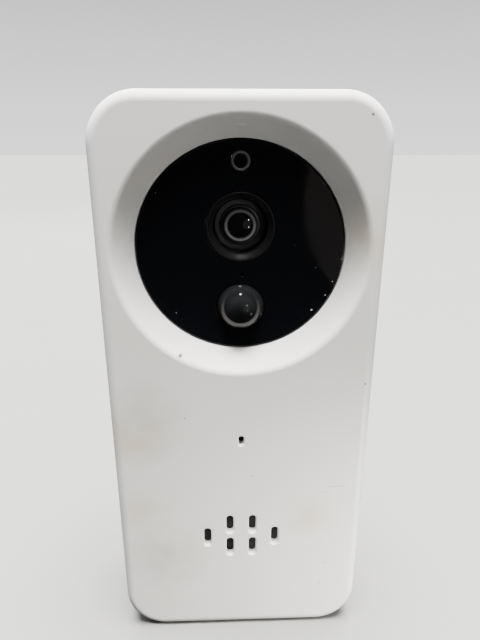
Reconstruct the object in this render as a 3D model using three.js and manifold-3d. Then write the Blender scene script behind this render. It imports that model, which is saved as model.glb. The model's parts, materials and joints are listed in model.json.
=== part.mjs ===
// Video doorbell: a battery doorbell unit hung on a wall plate.
// Millimetres, +Z up. The front faces -Y and the wall is the plane y = 0, so "front" is the low y of a piece.
// The origin is the middle of the wall plate's rear face, level with the middle of the case's height.
import * as THREE from 'three';
import { mergeVertices } from 'three/addons/utils/BufferGeometryUtils.js';
import Module from 'manifold-3d';

const wasm = await Module();
wasm.setup();

// Case
const WIDTH = 60;
const HEIGHT = 132;
const CORNER = 10.2;
const EDGE_ROUND = 2.2;
const WALL = 2;
const FRONT = -26;
const REAR_RIM = -0.4;
const PARTING = -8.5;
const SEAL_THICKNESS = 0.5;
const SHELL_GAP = 0.3;
const REAR_WALL_FRONT = -4;
const REAR_WALL_BACK = -2.3;
const RECESS_RIM = 4;

// Finger dish, bell push and what shows in it
const DISH_Z = 34.8;
const DISH_MOUTH_R = 26.7;
const DISC_R = 22.3;
const DISC_FRONT = -20.9;
const DISC_BACK = -19.5;
const DISC_CLEARANCE = 0.3;
const COLLAR_BACK = -18.5;
const PUSH_BACK = -17.2;
const LENS_Z = 39.5;
const MOTION_Z = 21.9;
const LIGHT_Z = 53;
const STATUS_X = 0.4;
const STATUS_Z = 29.3;
const INFRARED_X = 11.6;
const INFRARED_Z = [27, 47];
const BEZEL_R = 7.4;
const DOME_R = 5.25;
const DOME_HEIGHT = 3.8;
const POST_CIRCLE_R = 20.5;
const POST_ANGLES = [30, 150, 270];
const POST_R = 0.9;
const SWITCH_X = 15;

// Sound openings in the front wall
const MIC_Z = -9.3;
const SPEAKER_Z = -36.7;
const SPEAKER_R = 11.4;
const SLOT_WIDTH = 1.8;
const SLOT_LENGTH = 5.4;
const INNER_COLUMN_X = 2.8;
const OUTER_COLUMN_X = 8.4;
const ROW_OFFSET = 3.4;

// Boards, cells and their places in depth
const BOARD_FRONT = -12;
const BOARD_BACK = -10.8;
const SOLDER = 0.05;
const CELL_R = 7.2;
const CELL_X = 8;
const CELL_Y = -12.2;
const CELL_BOTTOM = -56;
const CELL_TOP = -6.2;
const CHARGE_BOARD_BOTTOM = -58.7;
const CHARGE_BOARD_TOP = -57.5;
const PORT_Y = -15.25;
const RESET_X = -11;
const POWER_X = 12;

// Wall plate
const PLATE_WIDTH = 49;
const PLATE_BOTTOM = -50;
const PLATE_TOP = 53;
const PLATE_FRONT = -2;
const HOOKS = [[-18, 40], [18, 40], [-21, -40], [21, -40]];
const HOOK_HALF_WIDTH = 3;
const HOOK_STEM = 2.5;
const HOOK_RISE = 7.5;
const LIFT = 8;
const TAMPER_X = 10;
const TAMPER_Z = 14;
const TAMPER_TRAVEL = 1.5;

// Charging bay in the bottom wall, under the flap
const BAY_PAD_TOP = -63.2;
const FLAP_BED_TOP = -64.6;
const FLAP_INSIDE = -64.9;

// Screws: where they go, the pilot holes they cut into and the screws themselves
const CASE_SCREWS = [[-23, 58], [23, 58], [-23, -58], [23, -58]];
const CASE_BOSS_R = 3;
const CASE_BOSS_BACK = -6.8;
const CASE_PILOT_R = 1.25;
const CASE_SCREW = { headR: 2.1, shankR: 1.05, length: 9.8, headHeight: 1.6 };
const HEAD_SEAT = -4.3;
const BOARD_SCREWS = [[0, 61.5], [-22, 11.5], [22, 11.5]];
const BOARD_BOSS_BACK = BOARD_FRONT - 0.1;
const BOARD_PILOT_R = 0.95;
const BOARD_SCREW = { headR: 1.9, shankR: 0.8, length: 5, headHeight: 1.3 };

// Depths of the camera's pieces behind its bezel
const BARREL_FRONT = -18.3;
const BARREL_BACK = -14.3;
const GLASS_BACK = -16.65;
const HOLDER_FRONT = -15.2;
const FILTER_DEPTHS = [-13.7, -13.2];
const SENSOR_FRONT = -12.9;

// Depths of the microphone's and the speaker's pieces
const BOOT_BACK = -20.6;
const MICROPHONE_DEPTHS = [-23.1, -20.9];
const MESH_BACK = -23.75;
const GASKET_DEPTHS = [-23.7, -23.3];
const BASKET_DEPTHS = [-23.25, -19.9];
const MAGNET_FRONT = -21.3;

// Limits well clear of the case, for cutting it apart
const CLEAR_X = [-40, 40];
const CLEAR_Z = [-80, 80];

// Solids

function toSolid(geometry) {
  const bare = geometry.clone();
  bare.deleteAttribute('normal');
  bare.deleteAttribute('uv');
  const merged = mergeVertices(bare, 1e-4);
  const positions = merged.attributes.position.array;
  const triangles = [];
  for (let i = 0; i < merged.index.count; i += 3) {
    const [a, b, c] = [0, 1, 2].map((k) => merged.index.getX(i + k));
    if (a !== b && b !== c && c !== a) triangles.push(a, b, c);
  }
  const make = (triVerts) => new wasm.Manifold(new wasm.Mesh({
    numProp: 3,
    vertProperties: new Float32Array(positions),
    triVerts: new Uint32Array(triVerts),
  }));
  const solid = make(triangles);
  return solid.volume() > 0 ? solid : make(triangles.reverse());
}

function toGeometry(solid) {
  const mesh = solid.getMesh();
  const geometry = new THREE.BufferGeometry();
  geometry.setAttribute('position', new THREE.BufferAttribute(new Float32Array(mesh.vertProperties), 3));
  geometry.setIndex(new THREE.BufferAttribute(new Uint32Array(mesh.triVerts), 1));
  geometry.computeVertexNormals();
  return geometry;
}

const join = (first, ...rest) => rest.reduce((sum, solid) => sum.add(solid), first);
const cut = (first, ...rest) => rest.reduce((left, solid) => left.subtract(solid), first);

// Puts a drawing's own axes on the case's: the drawing plane's two axes and its depth.
function remap(geometry, place) {
  const position = geometry.attributes.position;
  for (let i = 0; i < position.count; i += 1) {
    position.setXYZ(i, ...place(position.getX(i), position.getY(i), position.getZ(i)));
  }
  return geometry;
}

function box([x0, x1], [y0, y1], [z0, z1]) {
  const geometry = new THREE.BoxGeometry(x1 - x0, y1 - y0, z1 - z0);
  geometry.translate((x0 + x1) / 2, (y0 + y1) / 2, (z0 + z1) / 2);
  return toSolid(geometry);
}

const around = (middle, half) => [middle - half, middle + half];

function cylinderY(x, z, radius, [y0, y1], sides = 16) {
  const geometry = new THREE.CylinderGeometry(radius, radius, y1 - y0, sides);
  geometry.translate(x, (y0 + y1) / 2, z);
  return toSolid(geometry);
}

function cylinderZ(x, y, radius, [z0, z1], sides = 16) {
  const geometry = new THREE.CylinderGeometry(radius, radius, z1 - z0, sides);
  remap(geometry, (a, b, c) => [x + a, y - c, (z0 + z1) / 2 + b]);
  return toSolid(geometry);
}

// A profile of [radius, y] points turned about a line along Y.
function turnedY(x, z, profile, sides) {
  const points = profile.map(([r, y]) => new THREE.Vector2(r, y));
  const geometry = new THREE.LatheGeometry(points, sides);
  geometry.translate(x, 0, z);
  return toSolid(geometry);
}

const closed = (profile) => [...profile, profile[0]];

function roundedRect(width, height, radius, middleX = 0, middleY = 0) {
  const shape = new THREE.Shape();
  const right = middleX + width / 2 - radius;
  const left = middleX - width / 2 + radius;
  const top = middleY + height / 2 - radius;
  const bottom = middleY - height / 2 + radius;
  shape.absarc(right, bottom, radius, -Math.PI / 2, 0);
  shape.absarc(right, top, radius, 0, Math.PI / 2);
  shape.absarc(left, top, radius, Math.PI / 2, Math.PI);
  shape.absarc(left, bottom, radius, Math.PI, Math.PI * 1.5);
  shape.closePath();
  return shape;
}

// Extrudes a drawing in X and Z from y0 back to y1.
function prismY(shape, [y0, y1], curveSegments = 3) {
  const options = { depth: y1 - y0, bevelEnabled: false, curveSegments };
  const geometry = new THREE.ExtrudeGeometry(shape, options);
  return toSolid(remap(geometry, (a, b, c) => [a, y1 - c, b]));
}

// Extrudes a drawing in X and Y from z0 up to z1.
function prismZ(shape, [z0, z1], curveSegments = 3) {
  const options = { depth: z1 - z0, bevelEnabled: false, curveSegments };
  const geometry = new THREE.ExtrudeGeometry(shape, options);
  geometry.translate(0, 0, z0);
  return toSolid(geometry);
}

// Extrudes a drawing in Y and Z from x0 to x1.
function prismX(shape, [x0, x1]) {
  const geometry = new THREE.ExtrudeGeometry(shape, { depth: x1 - x0, bevelEnabled: false });
  return toSolid(remap(geometry, (a, b, c) => [x0 + c, a, b]));
}

// An upright slot with round ends, through a wall between two depths.
function slotY(x, z, width, length, depths) {
  return prismY(roundedRect(width, length, width / 2 - 0.01, x, z), depths, 3);
}

function tube(points, radius, sides, steps) {
  const section = new THREE.Shape();
  for (let i = 0; i < sides; i += 1) {
    const angle = (2 * Math.PI * i) / sides;
    const [a, b] = [radius * Math.cos(angle), radius * Math.sin(angle)];
    if (i === 0) section.moveTo(a, b);
    else section.lineTo(a, b);
  }
  section.closePath();
  const extrudePath = new THREE.CatmullRomCurve3(points);
  return toSolid(new THREE.ExtrudeGeometry(section, { steps, extrudePath, bevelEnabled: false }));
}

// Looks

function look(color, roughness, metalness = 0) {
  return new THREE.MeshStandardMaterial({ color, roughness, metalness });
}

const whitePlastic = () => look(0xe9e7e2, 0.42);
const greyPlastic = () => look(0xb9b8b4, 0.6);
const blackPlastic = () => look(0x16171a, 0.5);
const blackAcrylic = () => look(0x05070a, 0.06);
const darkLens = () => look(0x0c0e12, 0.04);
const smokyDome = () => look(0x23262a, 0.12);
const steel = () => look(0xb4b6b8, 0.3, 1);
const brightMetal = () => look(0xd0d2d4, 0.25, 1);
const circuitBoard = () => look(0x12502f, 0.5);
const chipBlack = () => look(0x1a1a1c, 0.55);
const clearResin = () => look(0xd8dcdf, 0.15);
const rubber = () => look(0x2b2b2d, 0.8);
const cloth = () => look(0x0e0e10, 0.95);
const cellSleeve = () => look(0x2f6f9a, 0.4);
const gold = () => look(0xb08a3c, 0.35, 1);
const redGlass = () => look(0x6d3a48, 0.1);

// Case shells

function caseBody() {
  const shape = roundedRect(WIDTH, HEIGHT, CORNER);
  const length = REAR_RIM - FRONT;
  const geometry = new THREE.ExtrudeGeometry(shape, {
    depth: length - 2 * EDGE_ROUND,
    bevelThickness: EDGE_ROUND,
    bevelSize: EDGE_ROUND,
    bevelOffset: -EDGE_ROUND,
    bevelSegments: 3,
    curveSegments: 4,
  });
  return toSolid(remap(geometry, (a, b, c) => [a, REAR_RIM - EDGE_ROUND - c, b]));
}

function caseHollow(depths) {
  return prismY(roundedRect(WIDTH - 2 * WALL, HEIGHT - 2 * WALL, CORNER - WALL), depths, 4);
}

function speakerSlots() {
  const depths = [FRONT - 1, FRONT + WALL + 1];
  const slot = (x, z) => slotY(x, z, SLOT_WIDTH, SLOT_LENGTH, depths);
  const inner = [-1, 1].flatMap((side) => [-1, 1].map((row) => slot(side * INNER_COLUMN_X,
    SPEAKER_Z + row * ROW_OFFSET)));
  const outer = [-1, 1].map((side) => slot(side * OUTER_COLUMN_X, SPEAKER_Z - 0.3));
  return [...inner, ...outer];
}

// The dish's cone, with a soft mouth, and the round way through it that the bell push slides in.
function dishVoid() {
  const wayR = DISC_R + DISC_CLEARANCE;
  const profile = [[0, FRONT - 1], [DISH_MOUTH_R + 0.9, FRONT - 1], [DISH_MOUTH_R + 0.5, FRONT]];
  profile.push([DISH_MOUTH_R - 0.5, FRONT + 0.45], [wayR, DISC_FRONT]);
  profile.push([wayR, COLLAR_BACK + 1], [0, COLLAR_BACK + 1]);
  return turnedY(0, DISH_Z, profile, 48);
}

function dishBoss() {
  const [wide, narrow] = [29.6, DISC_R + 2.6];
  const profile = [[0, FRONT + 1.5], [wide, FRONT + 1.5], [narrow, COLLAR_BACK - 1]];
  profile.push([narrow, COLLAR_BACK], [0, COLLAR_BACK]);
  return turnedY(0, DISH_Z, profile, 48);
}

function chargingBay() {
  const bottom = -HEIGHT / 2;
  const pad = box([-18.5, 18.5], [-21, -10], [bottom + 1.5, BAY_PAD_TOP]);
  const flapBed = prismZ(roundedRect(34.4, 8.9, 1.9, 0, -15.45), [bottom - 1, FLAP_BED_TOP]);
  const through = [bottom - 1, BAY_PAD_TOP + 1.2];
  const port = prismZ(roundedRect(10, 4.4, 2.19, 0, PORT_Y), through);
  const resetHole = cylinderZ(RESET_X, PORT_Y, 1.5, through);
  const powerSlot = box(around(POWER_X, 2.8), around(PORT_Y, 1.3), through);
  return { pad, cuts: [flapBed, port, resetHole, powerSlot] };
}

function frontShell() {
  const insideFront = FRONT + WALL;
  const backEdge = PARTING - SHELL_GAP;
  const slab = box(CLEAR_X, [FRONT - 1, backEdge], CLEAR_Z);
  const hull = cut(caseBody().intersect(slab), caseHollow([insideFront, backEdge + 1]));
  const bay = chargingBay();
  const root = insideFront - 0.1;
  const caseBosses = CASE_SCREWS.map(([x, z]) => cylinderY(x, z, CASE_BOSS_R, [root, CASE_BOSS_BACK]));
  const topBoss = cylinderY(...BOARD_SCREWS[0], 2, [root, BOARD_BOSS_BACK]);
  const lowBosses = BOARD_SCREWS.slice(1).map(([x, z]) => cylinderY(x, z, 2.5, [root, BOARD_BOSS_BACK]));
  const whole = join(hull, dishBoss(), bay.pad, topBoss, ...caseBosses, ...lowBosses);
  const caseHoles = CASE_SCREWS.map(([x, z]) => cylinderY(x, z, CASE_PILOT_R, [-16, -6], 12));
  const boardHoles = BOARD_SCREWS.map(([x, z]) => cylinderY(x, z, BOARD_PILOT_R, [-18, -11], 12));
  const micSlot = slotY(0, MIC_Z, 1.25, 2.4, [FRONT - 1, insideFront + 1]);
  return cut(whole, dishVoid(), micSlot, ...speakerSlots(), ...bay.cuts, ...caseHoles, ...boardHoles);
}

function rearHousing() {
  const frontEdge = PARTING + SHELL_GAP;
  const slab = box(CLEAR_X, [frontEdge, 1], CLEAR_Z);
  const recess = prismY(roundedRect(WIDTH - 2 * RECESS_RIM, HEIGHT - 2 * RECESS_RIM, CORNER - RECESS_RIM),
    [REAR_WALL_BACK, 1], 4);
  const hull = cut(caseBody().intersect(slab), caseHollow([frontEdge - 1, REAR_WALL_FRONT]), recess);
  const bosses = CASE_SCREWS.map(([x, z]) => cylinderY(x, z, 3.4, [-6.5, REAR_WALL_FRONT + 0.1]));
  const headWells = CASE_SCREWS.map(([x, z]) => cylinderY(x, z, CASE_SCREW.headR + 0.3, [HEAD_SEAT, 0]));
  const screwHoles = CASE_SCREWS.map(([x, z]) => cylinderY(x, z, CASE_PILOT_R, [-8, 0], 12));
  const tamperHole = cylinderY(TAMPER_X, TAMPER_Z, 1.8, [-6, 0]);
  const hookSlots = HOOKS.map(([x, z]) => box(around(x, HOOK_HALF_WIDTH + 0.4), [-6, 0],
    [z - LIFT - 0.4, z + HOOK_STEM + SHELL_GAP]));
  return cut(join(hull, ...bosses), ...headWells, ...screwHoles, tamperHole, ...hookSlots);
}

function housingSeal() {
  const depths = [PARTING - SEAL_THICKNESS / 2, PARTING + SEAL_THICKNESS / 2];
  const outer = prismY(roundedRect(WIDTH - 1.2, HEIGHT - 1.2, CORNER - 0.6), depths, 4);
  const through = [depths[0] - 1, depths[1] + 1];
  const inner = prismY(roundedRect(WIDTH - 3.6, HEIGHT - 3.6, CORNER - 1.8), through, 4);
  return cut(outer, inner);
}

// A pan-head screw pointing to the front, its head's underside at y.
function screw(x, z, y, { headR, shankR, length, headHeight }) {
  const socketR = headR * 0.45;
  const profile = [[0, y - length], [shankR * 0.5, y - length], [shankR, y - length + shankR]];
  profile.push([shankR, y], [headR, y], [headR, y + headHeight * 0.6], [headR * 0.75, y + headHeight]);
  profile.push([socketR, y + headHeight], [socketR, y + headHeight * 0.4], [0, y + headHeight * 0.4]);
  return turnedY(x, z, profile, 12);
}

// Wall plate

function hook([x, z]) {
  const width = around(x, HOOK_HALF_WIDTH);
  const stem = box(width, [-4.4, PLATE_FRONT + 0.1], [z, z + HOOK_STEM]);
  const lip = box(width, [-5.9, -4.3], [z, z + HOOK_RISE]);
  return join(stem, lip);
}

// The sloping groove that lets the tamper plunger out as the unit is lifted.
function tamperRamp() {
  const shallow = PLATE_FRONT + 0.15;
  const deep = shallow + TAMPER_TRAVEL;
  const shape = new THREE.Shape();
  const inFront = PLATE_FRONT - 1;
  shape.moveTo(inFront, TAMPER_Z - 3);
  shape.lineTo(shallow, TAMPER_Z - 3);
  shape.lineTo(shallow, TAMPER_Z);
  shape.lineTo(deep, TAMPER_Z + LIFT);
  shape.lineTo(deep, TAMPER_Z + LIFT + 3);
  shape.lineTo(inFront, TAMPER_Z + LIFT + 3);
  shape.closePath();
  return prismX(shape, around(TAMPER_X, 2.2));
}

function wallPlate() {
  const height = PLATE_TOP - PLATE_BOTTOM;
  const outline = roundedRect(PLATE_WIDTH, height, 5, 0, (PLATE_TOP + PLATE_BOTTOM) / 2);
  const sheet = prismY(outline, [PLATE_FRONT, 0], 3);
  const screwSlots = [44, -41].flatMap((z) => [
    slotY(0, z, 4.2, 8, [-3, 1]),
    slotY(0, z, 8, 11.8, [PLATE_FRONT - 1, PLATE_FRONT + 1]),
  ]);
  return cut(join(sheet, ...HOOKS.map(hook)), tamperRamp(), ...screwSlots);
}

// Bell push

function pushDisc() {
  const through = [DISC_FRONT - 1, DISC_BACK + 1];
  const disc = cylinderY(0, DISH_Z, DISC_R, [DISC_FRONT, DISC_BACK], 48);
  const lensHole = cylinderY(0, LENS_Z, BEZEL_R + 0.1, through, 32);
  const domeHole = cylinderY(0, MOTION_Z, DOME_R + 0.1, through, 24);
  const lightHole = cylinderY(0, LIGHT_Z, 2.02, through);
  const statusHole = cylinderY(STATUS_X, STATUS_Z, 0.4, through, 8);
  return cut(disc, lensHole, domeHole, lightHole, statusHole);
}

function postPlaces() {
  return POST_ANGLES.map((degrees) => {
    const angle = THREE.MathUtils.degToRad(degrees);
    return [POST_CIRCLE_R * Math.cos(angle), DISH_Z + POST_CIRCLE_R * Math.sin(angle)];
  });
}

function discCarrier() {
  const through = [DISC_BACK - 1, PUSH_BACK + 1];
  const web = cylinderY(0, DISH_Z, DISC_R - 0.3, [DISC_BACK + SOLDER, PUSH_BACK], 48);
  const flange = cylinderY(0, DISH_Z, DISC_R + 2, [COLLAR_BACK + 0.1, PUSH_BACK], 48);
  const holes = [
    cylinderY(0, LENS_Z, BEZEL_R + 0.1, through, 32),
    cylinderY(0, MOTION_Z, DOME_R + 1.2, through, 24),
    cylinderY(0, LIGHT_Z, 2.02, through),
    cylinderY(STATUS_X, STATUS_Z, 0.8, through, 8),
    ...INFRARED_Z.flatMap((z) => [-1, 1].map((side) => cylinderY(side * INFRARED_X, z, 2.3, through))),
  ];
  const posts = postPlaces().map(([x, z]) => cylinderY(x, z, POST_R, [PUSH_BACK - 0.5, -10.2], 12));
  return join(cut(join(web, flange), ...holes), ...posts);
}

function lensBezel() {
  const [inner, back] = [5.9, -17.9];
  const lipR = BEZEL_R - 0.6;
  const profile = [[BEZEL_R, DISC_FRONT - 0.1], [BEZEL_R, back], [inner, back]];
  profile.push([inner, DISC_FRONT + 0.8], [lipR, DISC_FRONT + 0.3], [lipR, DISC_FRONT - 0.1]);
  return turnedY(0, LENS_Z, closed(profile), 32);
}

// Points of a round cap from its tip to its rim, as [radius, y].
function capArc(rimR, height, rimY, steps) {
  const ball = (rimR * rimR + height * height) / (2 * height);
  const spread = Math.asin(rimR / ball);
  const centreY = rimY - height + ball;
  return Array.from({ length: steps + 1 }, (_, i) => {
    const angle = (spread * i) / steps;
    return [ball * Math.sin(angle), centreY - ball * Math.cos(angle)];
  });
}

function motionDome() {
  const wall = 0.8;
  const flangeBack = -18.8;
  const outside = capArc(DOME_R, DOME_HEIGHT, DISC_FRONT, 6);
  const inside = capArc(DOME_R - wall, DOME_HEIGHT - wall, DISC_FRONT, 6).reverse();
  const flange = [[DOME_R, DISC_BACK + SOLDER], [DOME_R + 0.9, DISC_BACK + SOLDER]];
  flange.push([DOME_R + 0.9, flangeBack], [DOME_R - wall, flangeBack]);
  const profile = [...outside, ...flange, ...inside];
  profile[0][0] = 0;
  profile[profile.length - 1][0] = 0;
  return turnedY(0, MOTION_Z, profile, 24);
}

function lightSensorRing() {
  const depths = [DISC_FRONT - 0.1, DISC_BACK - 0.1];
  const through = [depths[0] - 1, depths[1] + 1];
  return cut(cylinderY(0, LIGHT_Z, 1.96, depths), cylinderY(0, LIGHT_Z, 1.68, through));
}

const lightPipe = () => cylinderY(0, LIGHT_Z, 1.6, [DISC_FRONT + 0.1, PUSH_BACK + 0.1]);

function returnSpring([x, z]) {
  const [turns, coilR, wireR] = [4, 1.45, 0.2];
  const [start, end] = [PUSH_BACK + 0.3, BOARD_FRONT - 0.3];
  const count = turns * 8;
  const points = Array.from({ length: count + 1 }, (_, i) => {
    const angle = (2 * Math.PI * turns * i) / count;
    const y = start + ((end - start) * i) / count;
    return new THREE.Vector3(x + coilR * Math.cos(angle), y, z + coilR * Math.sin(angle));
  });
  return tube(points, wireR, 5, turns * 10);
}

function bellSwitchBody() {
  const body = box(around(SWITCH_X, 3), [-15.2, BOARD_FRONT - SOLDER], around(DISH_Z, 3));
  return cut(body, cylinderY(SWITCH_X, DISH_Z, 1.75, [-16, -13.6]));
}

const bellSwitchPlunger = () => cylinderY(SWITCH_X, DISH_Z, 1.6, [PUSH_BACK + 0.2, -14.6]);

// Main board and what is on it

function mainBoard() {
  const [bottom, top] = [8.1, 63.5];
  const outline = roundedRect(50, top - bottom, 1.5, 0, (top + bottom) / 2);
  const sheet = prismY(outline, [BOARD_FRONT, BOARD_BACK], 2);
  const through = [BOARD_FRONT - 1, BOARD_BACK + 1];
  const notches = CASE_SCREWS.slice(0, 2).map(([x, z]) => cylinderY(x, z, 3.8, through));
  const corners = [-1, 1].map((side) => box(around(side * 25, 4.5), through, [58, 65]));
  const postHoles = postPlaces().map(([x, z]) => cylinderY(x, z, POST_R + 0.4, through, 12));
  const screwHoles = BOARD_SCREWS.map(([x, z]) => cylinderY(x, z, 1, through, 12));
  return cut(sheet, ...notches, ...corners, ...postHoles, ...screwHoles);
}

// The holder spans the lens and the side pocket that the day-and-night filter slides into.
function lensHolder() {
  const base = box([-6.5, 9.5], [HOLDER_FRONT, BOARD_FRONT - SOLDER], around(LENS_Z, 6.5));
  const neck = cylinderY(0, LENS_Z, 5.5, [HOLDER_FRONT - 1.6, HOLDER_FRONT + 0.1], 24);
  const pocket = box([-3.2, 8.9], [-14, BOARD_FRONT + 1], around(LENS_Z, 3.2));
  const bore = cylinderY(0, LENS_Z, 4.5, [-18, -13.5], 24);
  return cut(join(base, neck), pocket, bore);
}

function lensBarrel() {
  const [outerR, rimR, seatR, boreR] = [4.4, 3.3, 2.75, 2];
  const seat = GLASS_BACK + 0.05;
  const profile = [[outerR, BARREL_BACK], [outerR, BARREL_FRONT + 1.1], [rimR, BARREL_FRONT]];
  profile.push([seatR, BARREL_FRONT], [seatR, seat], [boreR, seat], [boreR, BARREL_BACK]);
  return turnedY(0, LENS_Z, closed(profile), 24);
}

function lensGlass() {
  const radius = 2.65;
  const profile = [...capArc(radius, 0.8, GLASS_BACK - 0.75, 4), [radius, GLASS_BACK], [0, GLASS_BACK]];
  profile[0][0] = 0;
  return turnedY(0, LENS_Z, profile, 24);
}

const dayNightFilter = () => box(around(0, 2.8), FILTER_DEPTHS, around(LENS_Z, 2.8));
const imageSensor = () => box(around(0, 2.5), [SENSOR_FRONT, BOARD_FRONT - SOLDER], around(LENS_Z, 2.5));

function motionSensor() {
  const foot = BOARD_FRONT - SOLDER;
  const profile = [[0, -16], [4.1, -16], [4.1, foot - 0.7], [4.6, foot - 0.7], [4.6, foot], [0, foot]];
  return turnedY(0, MOTION_Z, profile, 24);
}

const onBoardFront = (x, z, halfX, halfZ, height) => box(around(x, halfX),
  [BOARD_FRONT - SOLDER - height, BOARD_FRONT - SOLDER], around(z, halfZ));
const onBoardBack = (x, z, halfX, halfZ, height) => box(around(x, halfX),
  [BOARD_BACK + SOLDER, BOARD_BACK + SOLDER + height], around(z, halfZ));

function infraredLight(x, z) {
  const base = onBoardFront(x, z, 1.75, 1.4, 1);
  const foot = BOARD_FRONT - SOLDER - 0.9;
  const profile = [[0, foot - 1], [0.8, foot - 0.8], [1.3, foot - 0.1], [1.3, foot], [0, foot]];
  return join(base, turnedY(x, z, profile, 12));
}

function antenna() {
  const arm = box([-20, -4], [-8.2, -7.8], [54, 57]);
  const legs = [-19, -12].map((x) => box(around(x, 0.8), [BOARD_BACK + SOLDER, -8], [54, 54.4]));
  return join(arm, ...legs);
}

// Sound

function microphoneBoot() {
  const front = FRONT + WALL + SOLDER;
  const cup = cylinderY(0, MIC_Z, 4, [front, BOOT_BACK], 20);
  const well = cylinderY(0, MIC_Z, 3.15, [front + 0.75, BOOT_BACK + 1], 20);
  return cut(cup, well, cylinderY(0, MIC_Z, 0.8, [front - 1, front + 2]));
}

const microphone = () => cylinderY(0, MIC_Z, 3, MICROPHONE_DEPTHS, 20);
const ringY = (z, outerR, innerR, depths, sides) => cut(cylinderY(0, z, outerR, depths, sides),
  cylinderY(0, z, innerR, [depths[0] - 1, depths[1] + 1], sides));
const speakerMesh = () => cylinderY(0, SPEAKER_Z, SPEAKER_R - 0.2, [FRONT + WALL + SOLDER, MESH_BACK], 24);
const speakerGasket = () => ringY(SPEAKER_Z, SPEAKER_R - 0.1, 10.2, GASKET_DEPTHS, 24);

function speakerBasket() {
  const [front, back] = BASKET_DEPTHS;
  const [magnetHoleR, insideR] = [5.4, SPEAKER_R - 0.8];
  const profile = [[SPEAKER_R, front], [SPEAKER_R, back], [magnetHoleR, back], [magnetHoleR, back - 0.6]];
  profile.push([insideR, back - 0.6], [insideR, front]);
  return turnedY(0, SPEAKER_Z, closed(profile), 24);
}

function speakerCone() {
  const [coilR, rollR, rimR] = [4, 9, 10.4];
  const profile = [[0, -22.3], [coilR, -21.8], [rollR, -22.9], [rimR, -22.7], [rimR, -22.4], [rollR, -22.6]];
  profile.push([coilR, -21.5], [0, -22]);
  return turnedY(0, SPEAKER_Z, profile, 24);
}

const speakerMagnet = () => cylinderY(0, SPEAKER_Z, 5, [MAGNET_FRONT, BASKET_DEPTHS[1]], 24);

// Power

const sides = [-1, 1];
const cell = (side) => {
  const can = cylinderZ(side * CELL_X, CELL_Y, CELL_R, [CELL_BOTTOM, CELL_TOP - 0.8], 24);
  return can.add(cylinderZ(side * CELL_X, CELL_Y, CELL_R - 2, [CELL_TOP - 1, CELL_TOP], 16));
};

function cellCradle() {
  const [bottom, top] = [-57.4, -4.8];
  const block = box([-17.2, 17.2], [-13.5, REAR_WALL_FRONT - 0.2], [bottom, top]);
  const grooves = sides.map((side) => cylinderZ(side * CELL_X, CELL_Y, CELL_R + 0.15,
    [CELL_BOTTOM - 0.2, CELL_TOP + 0.4], 24));
  const mouths = sides.map((side) => box(around(side * CELL_X, CELL_R + 0.15), [-15, CELL_Y],
    [CELL_BOTTOM - 0.2, CELL_TOP + 0.4]));
  const linkSlot = box([-10.3, 10.3], [-15, CELL_Y + 2.5], [CELL_TOP - 0.1, CELL_TOP + 0.4]);
  return cut(block, ...grooves, ...mouths, linkSlot);
}

const cellLink = () => box([-10, 10], around(CELL_Y + 0.6, 1.6), [CELL_TOP + SOLDER, CELL_TOP + 0.3]);

function lead(side) {
  const x = side * 18.6;
  const bottom = CHARGE_BOARD_TOP + 0.4;
  const top = side < 0 ? -8 : 7.6;
  const points = [top, top - 6, (top + bottom) / 2, bottom + 6, bottom].map((z, i) => {
    const ends = i === 0 || i === 4;
    return new THREE.Vector3(ends ? x - side * 0.3 : x, ends ? -10.6 : -9, z);
  });
  return tube(points, 0.8, 8, 16);
}

function chargeBoard() {
  return prismZ(roundedRect(38, 15, 1, 0, -13.5), [CHARGE_BOARD_BOTTOM, CHARGE_BOARD_TOP], 1);
}

function chargeSocket() {
  const [mouth, foot] = [-63.6, CHARGE_BOARD_BOTTOM - SOLDER];
  const can = prismZ(roundedRect(8.94, 3.26, 1.62, 0, PORT_Y), [mouth, foot], 3);
  const hollow = prismZ(roundedRect(8.3, 2.6, 1.29, 0, PORT_Y), [mouth - 1, foot - 0.8], 3);
  const tongue = box(around(0, 3.3), around(PORT_Y, 0.35), [mouth + 0.4, foot - 0.5]);
  return join(cut(can, hollow), tongue);
}

function resetSwitch() {
  const body = box(around(RESET_X, 2), around(PORT_Y, 1.6), [-61.6, CHARGE_BOARD_BOTTOM - SOLDER]);
  return cut(body, cylinderZ(RESET_X, PORT_Y, 0.95, [-63, -60.3], 12));
}

const resetButton = () => join(cylinderZ(RESET_X, PORT_Y, 1.2, [-64.2, -62.8]),
  cylinderZ(RESET_X, PORT_Y, 0.8, [-63, -61], 12));

function powerSwitch() {
  const body = box(around(POWER_X, 4.2), around(PORT_Y, 1.8), [-61.8, CHARGE_BOARD_BOTTOM - SOLDER]);
  return cut(body, box(around(POWER_X, 2.1), around(PORT_Y, 1), [-63, -60.5]));
}

const powerSlider = () => box([POWER_X - 1.8, POWER_X - 0.2], around(PORT_Y, 0.8), [-64.2, -60.9]);

function portFlap() {
  const cover = prismZ(roundedRect(33.6, 7.7, 1.6, 0, -15.75), [-HEIGHT / 2, FLAP_INSIDE], 2);
  const plug = prismZ(roundedRect(7.6, 1.9, 0.9, 0, PORT_Y), [FLAP_INSIDE - 0.1, FLAP_INSIDE + 1], 2);
  return join(cover, plug);
}

// Tamper switch

function tamperSwitch() {
  const body = onBoardBack(TAMPER_X, TAMPER_Z, 3, 2.5, 2.7);
  return cut(body, cylinderY(TAMPER_X, TAMPER_Z, 0.95, [-10.2, -7], 12));
}

function tamperPlunger() {
  const profile = [[0, -9.6], [0.8, -9.6], [0.8, -7.6], [1.4, -7.6], [1.4, -2.9], [0.9, -2.35], [0, -2.15]];
  return turnedY(TAMPER_X, TAMPER_Z, profile, 16);
}

// Assembly

const doorbell = new THREE.Group();

function piece(name, solid, material) {
  const mesh = new THREE.Mesh(toGeometry(solid), material);
  mesh.name = name;
  doorbell.add(mesh);
}

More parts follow.
